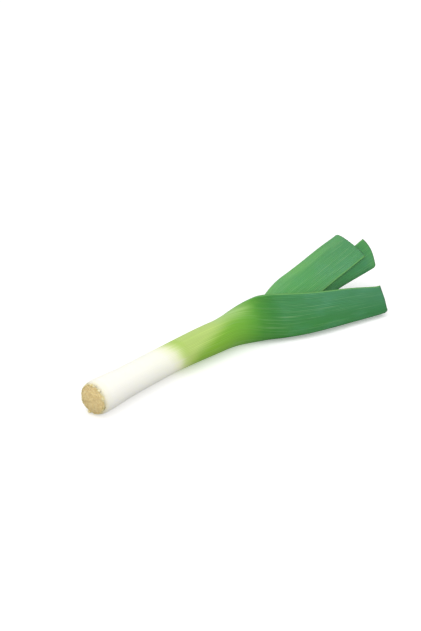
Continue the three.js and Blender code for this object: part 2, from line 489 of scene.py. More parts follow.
    def leaf_map(self, streaking: Grain) -> LeafMap:
        """Reads a leaf's own map, which runs across it in x and along it in y.

        Args:
            streaking: The noise of its streaks.

        Returns:
            The leaf's coordinates: across it from -1 to 1, and along it in stations.
        """
        place = self.nodes.new("ShaderNodeUVMap")
        place.uv_map = MAP_NAME
        spot = place.outputs[0]
        split = self.nodes.new("ShaderNodeSeparateXYZ")
        self.feed(split.inputs[0], spot)
        across = self.varied(split.outputs[0], 0.0, 2.0)
        station = self.math("MULTIPLY", split.outputs[1], MAP_LENGTH)
        return LeafMap(spot, across, station, self.grain(spot, streaking))

    def bump(self, height: Fed, strength: float, distance: float) -> None:
        """Roughens the surface.

        Args:
            height: The relief, from 0 to 1.
            strength: How much of it shows.
            distance: How high it is, in metres.
        """
        node = self.nodes.new("ShaderNodeBump")
        node.inputs["Strength"].default_value = strength
        node.inputs["Distance"].default_value = distance
        self.feed(node.inputs["Height"], height)
        self.feed(self.surface.inputs["Normal"], node.outputs[0])


WHITE_STOPS: Stops = (
    (0, (240, 232, 200)),
    (3, (249, 246, 230)),
    (10, (252, 250, 240)),
    (60, (252, 251, 240)),
    (108, (250, 250, 234)),
    (121, (240, 244, 208)),
    (131, (206, 224, 148)),
    (143, (168, 204, 88)),
)


LEAF_RADIUS = (1.0, 0.9, 0.45)
LEAF_DEPTH = 2.2 * MM


@dataclass(frozen=True)
class LeafFinish:
    """The skin of a leaf: white on the shaft, then green, with veins that run along it."""

    name: str
    blade: Stops
    mouth: float
    # Strength of the painted highlight: a paler tint along the top of the shaft past the white.
    top_highlight: float = 0.0
    # Strength of the painted highlight: a paler tint along the keel where light catches the rounded fold.
    keel_highlight: float = 0.0
    bloom: float = 0.25
    # Strength of the painted sheen: a bluish tint that lightens the blade towards its margins.
    painted_sheen: float = 0.0
    dashes: float = 0.22
    # Colour of the painted highlight on top of the shaft.
    top_highlight_tint: Colour = (188, 212, 122)
    fold_tint: Colour = (172, 212, 138)
    # Colour of the painted highlight along the keel.
    keel_highlight_tint: Colour = (112, 178, 100)
    # Colour of the bloom and of the painted sheen.
    bloom_and_sheen_tint: Colour = (90, 152, 122)
    dash_tint: Colour = (168, 208, 150)
    margin_tint: Colour = (108, 172, 98)
    streaking: Grain = Grain(46, 5, 0.0, 3.0, 0.6)
    waxing: Grain = Grain(9, 22, 3.7, 3.0)
    blooming: Grain = Grain(4.4, 11, 5.1)
    dashing: Grain = Grain(150, 8, 8.3)
    drifting: Grain = Grain(14, 7, 1.3)
    ring_from: Span = Span(60, 110)
    ring_until: Span = Span(215, 170)
    ring_turn: float = 0.33
    ring_slant: float = 7.5
    ring_shift: float = 5.0
    ring_wander: float = 16.0
    # Where the painted top highlight lies: its start, its edge, and how far it reaches round the shaft.
    patch_from: Span = Span(124, 142)
    patch_edge: Span = Span(30, -26)
    patch_turn: float = 0.8
    patch_middle: float = 170.0
    patch_swing: float = 52.0
    patch_wander: float = 22.0
    fold_from: Span = Span(182, 210)
    fold_until: Span = Span(250, 222)
    fold_across: Span = Span(0.42, 0.86)
    # Where the painted keel highlight lies across and along the leaf, and how much of it fades.
    keel_highlight_across: Span = Span(0.50, 0.30)
    keel_highlight_from: Span = Span(225, 262)
    keel_highlight_until: Span = Span(380, 470)
    keel_highlight_loss: float = 0.6
    bloom_patches: Span = Span(0.42, 0.75)
    bloom_from: Span = Span(240, 300)
    # Where the painted sheen lies across and along the blade.
    painted_sheen_across: Span = Span(0.30, 0.80)
    painted_sheen_from: Span = Span(256, 300)
    dash_patches: Span = Span(0.54, 0.74)
    dashes_from: Span = Span(130, 170)
    margin_across: Span = Span(0.965, 0.99)
    margin_length: float = 25.0
    veins_from: Span = Span(95, 150)
    veins_on_white: float = 0.18
    vein_pairs: float = 37.0
    vein_drift: float = 2.2
    vein_shade: float = 0.17
    streak_shade: float = 0.30
    streak_height: float = 0.7
    roughness: float = 0.48
    wax: float = 0.16
    specular: float = 0.12
    flesh: float = 0.12
    bump_strength: float = 0.36
    bump_height: float = 0.35 * MM

    def material(self) -> bpy.types.Material:
        """Builds the material from the leaf's own map.

        Returns:
            The material.
        """
        sheet = Sheet(self.name)
        leaf = sheet.leaf_map(self.streaking)
        colour = self.ground(sheet, leaf)
        if self.top_highlight:
            colour = self.highlight_and_fold(sheet, leaf, colour)
        if self.keel_highlight:
            colour = self.keel_highlighted(sheet, leaf, colour)
        for dress in (self.bloomed, self.dashed, self.edged):
            colour = dress(sheet, leaf, colour)
        veins = self.veins(sheet, leaf)
        shown = sheet.over(leaf.station, self.veins_from)
        shown = sheet.math("MULTIPLY_ADD", shown, 1.0 - self.veins_on_white, self.veins_on_white)
        lines = sheet.varied(veins, 1.0, self.vein_shade)
        tone = sheet.product(lines, sheet.varied(leaf.streaks, 1.0, self.streak_shade))
        sheet.set("Base Color", sheet.blend("MULTIPLY", shown, colour, sheet.grey(tone)))
        wax = sheet.grain(leaf.spot, self.waxing)
        sheet.set("Roughness", sheet.varied(wax, self.roughness, self.wax))
        sheet.set("Specular IOR Level", self.specular)
        sheet.flesh_out(self.flesh, LEAF_RADIUS, LEAF_DEPTH)
        height = sheet.math("ADD", veins, sheet.product(leaf.streaks, self.streak_height))
        sheet.bump(sheet.product(height, shown), self.bump_strength, self.bump_height)
        return sheet.material

    def ground(self, sheet: Sheet, leaf: LeafMap) -> Socket:
        """Colours the leaf along its length. The white ends in a slanted ring, led by the veins.

        Args:
            sheet: The material's tree.
            leaf: The leaf's coordinates.

        Returns:
            The colour's socket.
        """
        turn = sheet.product(sheet.math("SUBTRACT", leaf.across, self.ring_turn), math.pi)
        ring = sheet.math("MULTIPLY_ADD", sheet.math("SINE", turn), self.ring_slant, self.ring_shift)
        near = sheet.over(leaf.station, self.ring_from)
        far = sheet.over(leaf.station, self.ring_until)
        wander = sheet.varied(leaf.streaks, 0.0, self.ring_wander)
        shift = sheet.math("ADD", sheet.product(ring, near, far), sheet.product(wander, near))
        return sheet.ramp(sheet.math("ADD", leaf.station, shift), WHITE_STOPS + self.blade)

    def highlight_and_fold(self, sheet: Sheet, leaf: LeafMap, colour: Socket) -> Socket:
        """Adds a painted highlight along the top of the shaft past the white, and the pale fold under the
        mouth.

        Args:
            sheet: The material's tree.
            leaf: The leaf's coordinates.
            colour: The colour so far.

        Returns:
            The colour's socket.
        """
        # Painted highlight: it reaches furthest along the upper side of the shaft.
        turn = sheet.product(sheet.math("SUBTRACT", leaf.across, self.patch_turn), math.pi)
        swing = sheet.math("MULTIPLY_ADD", sheet.math("COSINE", turn), self.patch_swing, self.patch_middle)
        reach = sheet.math("ADD", swing, sheet.varied(leaf.streaks, 0.0, self.patch_wander))
        patch = sheet.product(
            sheet.over(sheet.math("SUBTRACT", leaf.station, reach), self.patch_edge),
            sheet.over(leaf.station, self.patch_from),
            self.top_highlight,
        )
        colour = sheet.tinted(patch, colour, self.top_highlight_tint)
        fold = sheet.product(
            sheet.over(leaf.station, self.fold_until),
            sheet.over(leaf.station, self.fold_from),
            sheet.over(leaf.across, self.fold_across),
            sheet.math("MULTIPLY_ADD", leaf.streaks, 1.3, -0.1),
        )
        return sheet.tinted(fold, colour, self.fold_tint)

    def keel_highlighted(self, sheet: Sheet, leaf: LeafMap, colour: Socket) -> Socket:
        """Adds a painted highlight along the keel, which fades towards the cut end.

        Args:
            sheet: The material's tree.
            leaf: The leaf's coordinates.
            colour: The colour so far.

        Returns:
            The colour's socket.
        """
        faded = sheet.over(leaf.station, self.keel_highlight_until)
        # Painted highlight: the keel is tinted paler, as if lit.
        band = sheet.product(
            sheet.over(sheet.math("ABSOLUTE", leaf.across), self.keel_highlight_across),
            sheet.over(leaf.station, self.keel_highlight_from),
            sheet.math("MULTIPLY_ADD", faded, -self.keel_highlight_loss, 1.0),
            self.keel_highlight,
        )
        return sheet.tinted(band, colour, self.keel_highlight_tint)

    def bloomed(self, sheet: Sheet, leaf: LeafMap, colour: Socket) -> Socket:
        """Adds the bluish bloom of the blade in patches, and a bluish painted sheen towards its margins.

        Args:
            sheet: The material's tree.
            leaf: The leaf's coordinates.
            colour: The colour so far.

        Returns:
            The colour's socket.
        """
        patches = sheet.product(
            sheet.over(sheet.grain(leaf.spot, self.blooming), self.bloom_patches),
            sheet.over(leaf.station, self.bloom_from),
            self.bloom,
        )
        # Painted sheen: the blade is tinted lighter towards its margins.
        painted_sheen = sheet.product(
            sheet.over(sheet.math("ABSOLUTE", leaf.across), self.painted_sheen_across),
            sheet.over(leaf.station, self.painted_sheen_from),
            self.painted_sheen,
        )
        return sheet.tinted(sheet.math("ADD", patches, painted_sheen), colour, self.bloom_and_sheen_tint)

    def dashed(self, sheet: Sheet, leaf: LeafMap, colour: Socket) -> Socket:
        """Adds short pale dashes along the green.

        Args:
            sheet: The material's tree.
            leaf: The leaf's coordinates.
            colour: The colour so far.

        Returns:
            The colour's socket.
        """
        dashes = sheet.product(
            sheet.over(sheet.grain(leaf.spot, self.dashing), self.dash_patches),
            sheet.over(leaf.station, self.dashes_from),
            self.dashes,
        )
        return sheet.tinted(dashes, colour, self.dash_tint)

    def edged(self, sheet: Sheet, leaf: LeafMap, colour: Socket) -> Socket:
        """Adds the pale margins of the blade.

        Args:
            sheet: The material's tree.
            leaf: The leaf's coordinates.
            colour: The colour so far.

        Returns:
            The colour's socket.
        """
        edge = sheet.product(
            sheet.over(sheet.math("ABSOLUTE", leaf.across), self.margin_across),
            sheet.over(leaf.station, Span(self.mouth, self.mouth + self.margin_length)),
        )
        return sheet.tinted(edge, colour, self.margin_tint)

    def veins(self, sheet: Sheet, leaf: LeafMap) -> Socket:
        """Raises the veins: fine ridges across the leaf that wander a little along it.

        Args:
            sheet: The material's tree.
            leaf: The leaf's coordinates.

        Returns:
            The socket of their height, from 0 to 1.
        """
        drift = sheet.product(sheet.grain(leaf.spot, self.drifting), self.vein_drift)
        phase = sheet.math("ADD", sheet.product(leaf.across, self.vein_pairs), drift)
        ridges = sheet.math("SINE", sheet.product(phase, 2 * math.pi))
        return sheet.math("MULTIPLY_ADD", ridges, 0.5, 0.5)


@dataclass(frozen=True)
class FleshFinish:
    """The inner face and the cut edges of a leaf: smoother and yellower than its skin."""

    name: str
    blade: Stops
    streaking: Grain = Grain(60, 6, 2.1, 3.0, 0.6)
    wander: float = 15.6
    shade: float = 0.24
    roughness: float = 0.38
    rough_width: float = 0.14
    flesh: float = 0.15
    bump_strength: float = 0.3
    bump_height: float = 0.3 * MM

    def material(self) -> bpy.types.Material:
        """Builds the material from the leaf's own map.

        Returns:
            The material.
        """
        sheet = Sheet(self.name)
        leaf = sheet.leaf_map(self.streaking)
        led = sheet.math("ADD", leaf.station, sheet.varied(leaf.streaks, 0.0, self.wander))
        tone = sheet.grey(sheet.varied(leaf.streaks, 1.0, self.shade))
        colour = sheet.ramp(led, WHITE_STOPS + self.blade)
        sheet.set("Base Color", sheet.blend("MULTIPLY", 1.0, colour, tone))
        sheet.set("Roughness", sheet.varied(leaf.streaks, self.roughness, self.rough_width))
        sheet.flesh_out(self.flesh, LEAF_RADIUS, LEAF_DEPTH)
        sheet.bump(leaf.streaks, self.bump_strength, self.bump_height)
        return sheet.material


@dataclass(frozen=True)
class RootFinish:
    """The root base: corky and beige, with darker patches, pits and flecks."""

    name: str
    body: Colour
    shade: Colour
    fleck: Colour
    roughness: float = 0.85
    specular: float = 0.25
    mottle_scale: float = 260.0
    mottle_span: Span = Span(0.38, 0.66)
    grain_scale: float = 1150.0
    grain_span: Span = Span(0.56, 0.72)
    pit_scale: float = 620.0
    pit_span: Span = Span(0.34, 0.10)
    pit_share: float = 0.6
    pit_tone: float = 0.80
    pit_depth: float = 0.5
    flesh: float = 0.08
    light_radius: tuple[float, ...] = (1.0, 0.8, 0.4)
    light_depth: float = 1.5 * MM
    bump_strength: float = 0.7
    bump_height: float = 0.5 * MM

    def material(self) -> bpy.types.Material:
        """Builds the material from Object coordinates.

        Returns:
            The material.
        """
        sheet = Sheet(self.name)
        place = sheet.nodes.new("ShaderNodeTexCoord").outputs["Object"]
        mottle = sheet.noise(place, self.mottle_scale, 4.0, 0.62)
        grain = sheet.noise(place, self.grain_scale, 3.0, 0.6)
        pits = sheet.nodes.new("ShaderNodeTexVoronoi")
        sheet.feed(pits.inputs["Vector"], place)
        pits.inputs["Scale"].default_value = self.pit_scale
        pit = sheet.over(pits.outputs["Distance"], self.pit_span)
        colour = sheet.tinted(sheet.over(mottle, self.mottle_span), linear(self.body), self.shade)
        colour = sheet.tinted(sheet.over(grain, self.grain_span), colour, self.fleck)
        dark = tuple(round(value * self.pit_tone) for value in self.shade)
        sheet.set("Base Color", sheet.tinted(sheet.product(pit, self.pit_share), colour, dark))
        sheet.set("Roughness", self.roughness)
        sheet.set("Specular IOR Level", self.specular)
        sheet.flesh_out(self.flesh, self.light_radius, self.light_depth)
        relief = sheet.math("ADD", mottle, grain)
        relief = sheet.math("SUBTRACT", relief, sheet.product(pit, self.pit_depth))
        sheet.bump(relief, self.bump_strength, self.bump_height)
        return sheet.material


def piece_of(
    name: str,
    bm: bmesh.types.BMesh,
    materials: Iterable[bpy.types.Material],
    node: str,
    slot: str,
) -> bpy.types.Object:
    """Turns a finished bmesh into a piece that stands for a node of the model.

    Args:
        name: The piece's name.
        bm: The mesh, in the model's frame. It is freed.
        materials: The piece's materials, in the order of its faces' indices.
        node: The node that the piece replaces.
        slot: The record's material slot for it. It is not used.

    Returns:
        The piece.
    """
    for face in bm.faces:
        face.smooth = True
    mesh = bpy.data.meshes.new(name)
    bm.to_mesh(mesh)
    bm.free()
    for material in materials:
        mesh.materials.append(material)
    piece = bpy.data.objects.new(name, mesh)
    bpy.context.scene.collection.objects.link(piece)
    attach(piece, BODY)
    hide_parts(node)
    log.info("%s: %d faces, stands for %s", name, len(mesh.polygons), node)
    return piece


SKIN, FLESH = 0, 1


@dataclass(frozen=True)
class Leaf:
    """One leaf: a closed sheath up to its mouth, and an open folded blade beyond it."""

    name: str
    node: str
    slot: str
    layer: int
    side: Side
    mouth: float
    end: float
    flare: float
    margin: float
    fold: float
    keel_wall: float
    finish: LeafFinish
    flesh: FleshFinish
    start: float = SHEATH_START
    margin_wall: float = 0.8
    columns: int = 120
    row_pitch: float = 3.1
    flare_length: float = 24.0
    rib_count: int = 38
    rib_height: float = 0.10
    sheath_ribs: float = 0.25
    rim_round: float = 0.22
    keel_round: float = 4.0
    corner_width: float = 0.27
    slant: float = 0.45
    slant_often: float = 5.1
    ripple: float = 0.3
    ripple_often: float = 11.7
    bulged: bool = False

    @property
    def radius(self) -> float:
        """The sheath's nominal outer radius."""
        return SHAFT_RADIUS - self.layer * LAYER_PITCH

    @property
    def floor(self) -> float:
        """The lowest height of the leaf, where the ones outside it lie under it."""
        return self.layer * LAYER_PITCH

    @property
    def sheath_rows(self) -> int:
        """The rows of faces from the start to the mouth."""
        return round((self.mouth - self.start) / self.row_pitch)

    @property
    def blade_rows(self) -> int:
        """The rows of faces from the mouth to the cut end."""
        return round((self.end - self.mouth) / self.row_pitch)

    def section(self, station: float) -> Section:
        """Returns the leaf's cross-section at a station."""
        raise NotImplementedError

    def station_of(self, row: int) -> float:
        """Finds the station of a row of the grid.

        Args:
            row: The row, from the start of the sheath.

        Returns:
            The length along the leek.
        """
        if row <= self.sheath_rows:
            return lerp(self.start, self.mouth, row / self.sheath_rows)
        return lerp(self.mouth, self.end, (row - self.sheath_rows) / self.blade_rows)

    def wall(self, station: float, across: float) -> float:
        """Works out the wall's thickness.

        Args:
            station: The length along the leek.
            across: The place across the leaf, from -1 to 1.

        Returns:
            The thickness in millimetres.
        """
        blade = lerp(self.keel_wall, self.margin_wall, across * across)
        return lerp(SHEATH_WALL, blade, WALL_THINNING.share(station - self.mouth))

    def cut(self, across: float) -> float:
        """Works out how far the cut end stands out, with the unevenness of a knife's cut.

        Args:
            across: The place across the leaf, from -1 to 1.

        Returns:
            The distance past the leaf's end.
        """
        uneven = self.slant * math.sin(self.slant_often * across + self.layer)
        uneven += self.ripple * math.sin(self.ripple_often * across)
        corner = self.keel_round * (1 - smooth(abs(across), 0.0, self.corner_width)) ** 2
        share = smooth(abs(across), 0.0, 1.0) if self.bulged else across * across
        return self.flare * share + uneven - corner

    def spot(self, across: float, station: float, outer: bool) -> Vector:
        """Works out a point of the leaf's skin.

        Args:
            across: The place across the leaf, from -1 to 1.
            station: The length along the leek.
            outer: Whether the point is on the outer face.

        Returns:
            The point in the stem's frame.
        """
        wall = self.wall(station, across)
        drawn = station + self.cut(across) * smooth(station, self.end - self.flare_length, self.end)
        section = self.section(drawn)
        rib = self.rib_height * math.cos(2 * math.pi * self.rib_count * across)
        rib *= lerp(self.sheath_ribs, 1.0, WALL_THINNING.share(station - self.mouth))
        inset = -rib * (1 - across ** 6) if outer else wall
        floor = self.floor if outer else self.floor + wall
        point = section.point(across * section.margin, inset, floor)
        return swayed(point, station, floor)

    def build(self) -> bpy.types.Object:
        """Builds the leaf from a grid: its seam is closed, then its wall is raised and rounded.

        Returns:
            The piece.
        """
        bm = bmesh.new()
        rows = self.sheath_rows + self.blade_rows
        bmesh.ops.create_grid(bm, x_segments=self.columns, y_segments=rows, size=1.0)
        place = bm.verts.layers.float_vector.new("place")
        leaf_map = bm.loops.layers.uv.new(MAP_NAME)
        seam: dict[int, list[bmesh.types.BMVert]] = {}
        for vert in bm.verts:
            row = round((vert.co.y + 1) / 2 * rows)
            vert[place] = Vector((vert.co.x, self.station_of(row), 0.0))
            if abs(vert.co.x) > 1 - 0.5 / self.columns and row <= self.sheath_rows:
                seam.setdefault(row, []).append(vert)
        for face in bm.faces:
            face.material_index = FLESH
            for loop in face.loops:
                across, station, _ = loop.vert[place]
                loop[leaf_map].uv = ((across + 1) / 2, station / MAP_LENGTH)
        bmesh.ops.weld_verts(bm, targetmap={left: right for left, right in seam.values()})
        whole = [*bm.verts, *bm.edges, *bm.faces]
        raised = bmesh.ops.extrude_face_region(bm, geom=whole, use_keep_orig=True)["geom"]
        outer = {element for element in raised if isinstance(element, bmesh.types.BMVert)}
        skin = {element for element in raised if isinstance(element, bmesh.types.BMFace)}
        for face in skin:
            face.material_index = SKIN
        for vert in bm.verts:
            across, station, _ = vert[place]
            vert.co = self.spot(across, station, vert in outer)
        self.round_rim(bm, outer, skin)
        bmesh.ops.recalc_face_normals(bm, faces=bm.faces)
        for vert in bm.verts:
            vert.co = placed(vert.co)
        materials = (self.finish.material(), self.flesh.material())
        return piece_of(self.name, bm, materials, self.node, self.slot)

    def round_rim(
        self,
        bm: bmesh.types.BMesh,
        outer: set[bmesh.types.BMVert],
        skin: set[bmesh.types.BMFace],
    ) -> None:
        """Rounds the edges where the leaf's two faces meet the wall between them.

        Args:
            bm: The leaf's mesh, in millimetres.
            outer: The vertices of its outer face.
            skin: The faces of its outer face.
        """
        walls = {
            face for face in bm.faces
            if face not in skin and any(vert in outer for vert in face.verts)
        }
        rim = [
            edge for edge in bm.edges
            if len(edge.link_faces) == 2 and sum(face in walls for face in edge.link_faces) == 1
        ]
        bmesh.ops.bevel(
            bm, geom=rim, offset=self.rim_round, offset_type="OFFSET", affect="EDGES",
            segments=2, profile=0.5, material=-1, clamp_overlap=True,
        )


SCATTER_SHIFTS = (Vector((0.0, 0.0, 0.0)), Vector((17.3, 5.9, 11.4)), Vector((8.6, 23.1, 2.7)))
SWAYING = Span(300, 420)
SWAY = 0.9
SWAY_SCALE = 0.014
SWAY_START = Vector((3.1, 7.7, 1.9))


def scatter(point: Vector) -> Vector:
    """Returns a repeatable noise vector at a point, each side from -1 to 1."""
    return Vector([noise.noise(point + shift) for shift in SCATTER_SHIFTS])


def swayed(point: Vector, station: float, floor: float) -> Vector:
    """Moves a point of a blade by the gentle unevenness that all the blades share.

    Args:
        point: The point in the stem's frame.
        station: The length along the leek.
        floor: The lowest height that it may have.

    Returns:
        The moved point.
    """
    share = SWAYING.share(station)
    if not share:
        return point
    drift = scatter(point * SWAY_SCALE + SWAY_START)
    moved = point + drift * (SWAY * share)
    moved.z = max(moved.z, min(floor, point.z))
    return moved


@dataclass(frozen=True)
class OuterLeaf(Leaf):
    """The outermost leaf, whose blade is wider than the fan and turns away from it."""

    deep: tuple[float, float] = (52.0, 34.4)
    wide: tuple[float, float] = (24.5, 15.0)
    narrowing: float = 265.0
    narrowing_power: float = 1.7
    margin_span: Span = Span(0, 62)
    depth_span: Span = Span(-4, 74)
    width_span: Span = Span(-8, 54)
    fold_span: Span = Span(40, 100)
    swell_span: Span = Span(0, 72)
    shoulder: float = 7.5
    shoulder_drop: float = 1.8
    lip_wall: float = 0.55
    torn: float = 1.3
    tears: tuple[tuple[float, float, float], ...] = ((3.0, 1.0, 4.4), (9.0, 0.5, 1.2))

    def opened(self, station: float, span: Span) -> float:
        """Returns the share of a size that is taken up at a station."""
        return span.share(station - self.mouth)

    def wall(self, station: float, across: float) -> float:
        """Works out the wall, which starts as a thin torn lip round the root base.

        Args:
            station: The length along the leek.
            across: The place across the leaf, from -1 to 1.

        Returns:
            The thickness in millimetres.
        """
        lip = smooth(station, self.start, self.shoulder)
        return lerp(self.lip_wall, super().wall(station, across), lip)

    def section(self, station: float) -> Section:
        """Works out the leaf's cross-section, which hangs on the line of its keel.

        Args:
            station: The length along the leek.

        Returns:
            The cross-section.
        """
        radius = self.radius * girth(station)
        past = min(1.0, max(0.0, (self.shoulder - station) / (self.shoulder - self.start)))
        radius -= self.shoulder_drop * (1 - math.sqrt(1 - past * past))
        narrowed = min(1.0, max(0.0, (station - self.narrowing) / (self.end - self.narrowing)))
        margin = lerp(math.pi, math.radians(self.margin), self.opened(station, self.margin_span))
        blade_depth = lerp(self.deep[0], self.deep[1], narrowed ** self.narrowing_power)
        depth = lerp(2 * radius, blade_depth, self.opened(station, self.depth_span))
        blade_width = lerp(self.wide[0], self.wide[1], smooth(narrowed, 0.0, 1.0))
        half_width = lerp(radius, blade_width, self.opened(station, self.width_span))
        reach = depth / (1 - math.cos(margin))
        axes = OUTER_COURSE.axes(station, self.side)
        swell = (radius - self.radius) * (1 - self.opened(station, self.swell_span))
        return Section(
            keel_reach=reach,
            half_width=half_width,
            fold=self.fold * self.opened(station, self.fold_span),
            margin=margin,
            centre=KEEL_LINE.at(station) + axes.keel * (swell - reach),
            axes=axes,
            wave=lambda out: OUTER_WAVE.at(station, out),
        )

    def spot(self, across: float, station: float, outer: bool) -> Vector:
        """Works out a point of the skin, with the torn edge of the lip round the root base.

        Args:
            across: The place across the leaf, from -1 to 1.
            station: The length along the leek.
            outer: Whether the point is on the outer face.

        Returns:
            The point in the stem's frame.
        """
        turn = math.pi * across
        torn = sum(
            share * noise.noise(Vector((often * math.cos(turn), often * math.sin(turn), start)))
            for often, share, start in self.tears
        )
        edge = 1 - smooth(station, self.start, self.shoulder)
        return super().spot(across, station + self.torn * torn * edge, outer)


@dataclass(frozen=True)
class FanLeaf(Leaf):
    """A leaf of the fan. All of them share one shape and one wave, so each clears the next."""

    spread: float = 1.9
    widening: float = 0.0
    press: float = 0.55

    def section(self, station: float) -> Section:
        """Works out the leaf's cross-section, round on the shaft and flattened along the blade.

        Args:
            station: The length along the leek.

        Returns:
            The cross-section.
        """
        flat = FLATTENING.share(station)
        radius = self.radius * girth(station)
        opening = FAN_OPENING.share(station - self.mouth)
        side = self.side.value
        spread = self.spread + self.widening * WIDENING.share(station)
        return Section(
            keel_reach=radius * lerp(1, spread, flat),
            half_width=radius * lerp(1, self.press, flat),
            fold=self.fold * flat,
            margin=lerp(math.pi, math.radians(self.margin), opening),
            centre=FAN_LINE.at(station),
            axes=FAN_COURSE.axes(station, self.side),
            wave=lambda out: side * FAN_WAVE.at(station, side * out),
        )


@dataclass(frozen=True)
class Heart:
    """The innermost leaves, one tight spindle, with the rolled leaves showing at its cut end."""

    finish: LeafFinish
    flesh: FleshFinish
    name: str = "heart_spindle"
    node: str = "heart"
    slot: str = "heart_leaf"
    layer: int = 5
    end: float = 480.0
    fold: float = 0.3
    spread: float = 1.9
    press: float = 0.55
    columns: int = 96
    rows: int = 150
    cap_rings: int = 20
    rolls: float = 4.0
    groove: float = 0.9

    def spot(self, across: float, station: float) -> Vector:
        """Works out a point of the spindle's skin.

        Args:
            across: The place round it, from -1 to 1.
            station: The length along the leek.

        Returns:
            The point in the stem's frame.
        """
        flat = FLATTENING.share(station)
        radius = (SHAFT_RADIUS - self.layer * LAYER_PITCH) * girth(station)
        section = Section(
            keel_reach=radius * lerp(1, self.spread, flat),
            half_width=radius * lerp(1, self.press, flat),
            fold=self.fold * flat,
            margin=math.pi,
            centre=FAN_LINE.at(station),
            axes=FAN_COURSE.axes(station, Side.RIGHT),
            wave=lambda out: FAN_WAVE.at(station, out),
        )
        return swayed(section.point(across * math.pi, 0.0, 0.0), station, 0.0)

    def build(self) -> bpy.types.Object:
        """Builds the spindle from a grid rolled into a tube, and closes both of its ends.

        Returns:
            The piece.
        """
        bm = bmesh.new()
        bmesh.ops.create_grid(bm, x_segments=self.columns, y_segments=self.rows, size=1.0)
        place = bm.verts.layers.float_vector.new("place")
        leaf_map = bm.loops.layers.uv.new(MAP_NAME)
        for vert in bm.verts:
            station = lerp(SHEATH_START, self.end, (vert.co.y + 1) / 2)
            vert[place] = Vector((vert.co.x, station, 0.0))
        for face in bm.faces:
            for loop in face.loops:
                across, station, _ = loop.vert[place]
                loop[leaf_map].uv = ((across + 1) / 2, station / MAP_LENGTH)
        for vert in bm.verts:
            across, station, _ = vert[place]
            vert.co = self.spot(across, station)
        bmesh.ops.remove_doubles(bm, verts=bm.verts, dist=MERGE_DISTANCE)
        self.close(bm, place, SHEATH_START, 1, 0.0)
        self.close(bm, place, self.end, self.cap_rings, self.groove)
        bmesh.ops.recalc_face_normals(bm, faces=bm.faces)
        for vert in bm.verts:
            vert.co = placed(vert.co)
        materials = (self.finish.material(), self.flesh.material())
        return piece_of(self.name, bm, materials, self.node, self.slot)

    def close(
        self,
        bm: bmesh.types.BMesh,
        place: bmesh.types.BMLayerItem,
        station: float,
        rings: int,
        groove: float,
    ) -> None:
        """Closes one end with rings that shrink to its middle.

        Args:
            bm: The spindle's mesh, in millimetres.
            place: The layer that holds each vertex's place across and along the leaf.
            station: The end's station.
            rings: How many rings close it.
            groove: The depth of the spiral groove between the rolled leaves.
        """
        edges = [
            edge for edge in bm.edges
            if edge.is_boundary and all(abs(vert[place].y - station) < 0.01 for vert in edge.verts)
        ]
        verts = list(dict.fromkeys(vert for edge in edges for vert in edge.verts))
        middle = sum((vert.co for vert in verts), Vector()) / len(verts)
        along = FAN_COURSE.axes(station, Side.RIGHT).along
        rim = {round(vert[place].x, 4): vert.co.copy() for vert in verts}
        for ring in range(1, rings + 1):
            made = bmesh.ops.extrude_edge_only(bm, edges=edges)["geom"]
            edges = [element for element in made if isinstance(element, bmesh.types.BMEdge)]
            for vert in (element for element in made if isinstance(element, bmesh.types.BMVert)):
                share = ring / rings
                start = rim[round(vert[place].x, 4)]
                turn = self.rolls * share + vert[place].x / 2
                depth = groove * (1 - abs(math.sin(math.pi * turn))) * min(1.0, 4 * share)
                vert.co = start.lerp(middle, share) - along * depth
            for face in (element for element in made if isinstance(element, bmesh.types.BMFace)):
                face.material_index = FLESH
        last = list(dict.fromkeys(vert for edge in edges for vert in edge.verts))
        bmesh.ops.pointmerge(bm, verts=last, merge_co=middle)


